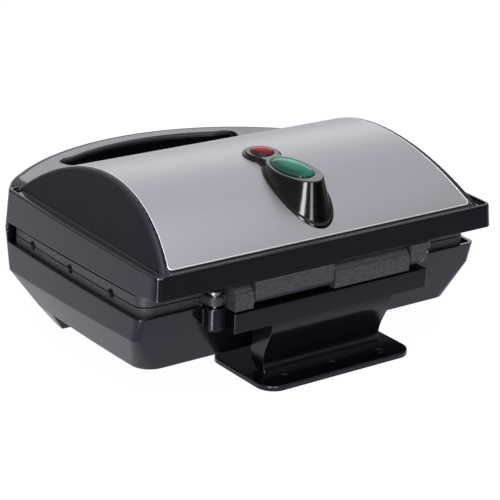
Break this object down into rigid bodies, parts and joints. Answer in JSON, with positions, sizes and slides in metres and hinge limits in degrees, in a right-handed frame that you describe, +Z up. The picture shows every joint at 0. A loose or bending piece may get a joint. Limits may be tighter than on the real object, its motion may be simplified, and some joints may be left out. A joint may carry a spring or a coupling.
{
  "type": "panini press",
  "caption": "Closed two-slice panini press: domed brushed steel lid with lamp bezel, black moulded housings, cast hinged plates, loop handle with clip, and a rear stand.",
  "frame": {"origin": "centre of the footprint on the table, under the middle of the overall bounding box", "axes": "+X along the width, +Y towards the hinge and the rear stand, +Z up"},
  "size_m": [0.2438, 0.2448, 0.1112],
  "materials": {
    "housing": "satin-gloss black phenolic moulding",
    "stand": "gloss black moulding",
    "rubber": "black rubber",
    "cast_plate": "die-cast aluminium with speckled dark non-stick coating",
    "heater": "steel-sheathed tube",
    "shield": "aluminised sheet",
    "ceramic": "phenolic and ceramic switch body",
    "terminal": "natural nylon",
    "pin_steel": "drawn steel",
    "screw_steel": "zinc-plated steel",
    "brushed_cover": "brushed stainless sheet, grain along the width",
    "bezel": "gloss black moulding",
    "red_lens": "translucent red",
    "green_lens": "translucent green",
    "lamp_glass": "small glass neon"
  },
  "bodies": {
    "base": {"lower_housing": "housing", "rear_stand": "stand", "foot_pads": "rubber", "lower_cooking_plate": "cast_plate", "lower_heating_element": "heater", "lower_heat_shield": "shield", "thermal_fuse": "shield", "terminal_block": "terminal", "hinge_pin": "pin_steel", "lower_plate_screws": "screw_steel", "lower_lug_screw": "screw_steel", "stand_screws": "screw_steel"},
    "lid": {"upper_housing": "housing", "steel_cover": "brushed_cover", "indicator_bezel": "bezel", "red_lens": "red_lens", "green_lens": "green_lens", "red_lamp": "lamp_glass", "green_lamp": "lamp_glass", "lamp_bracket": "terminal", "bezel_screws": "screw_steel", "upper_cooking_plate": "cast_plate", "upper_heating_element": "heater", "upper_heat_shield": "shield", "thermostat": "ceramic", "upper_plate_screws": "screw_steel", "upper_lug_screw": "screw_steel", "latch_pin": "pin_steel"},
    "latch": {"latch_clip": "housing"}
  },
  "joints": [
    {"name": "lid_hinge", "type": "hinge", "parent": "base", "child": "lid", "pos_m": [0, 0.1025, 0.0553], "axis": [-1, 0, 0], "range_deg": [0, 90]},
    {"name": "latch_pivot", "type": "hinge", "parent": "lid", "child": "latch", "pos_m": [0, -0.1112, 0.067], "axis": [1, 0, 0], "range_deg": [-18, 12]}
  ]
}
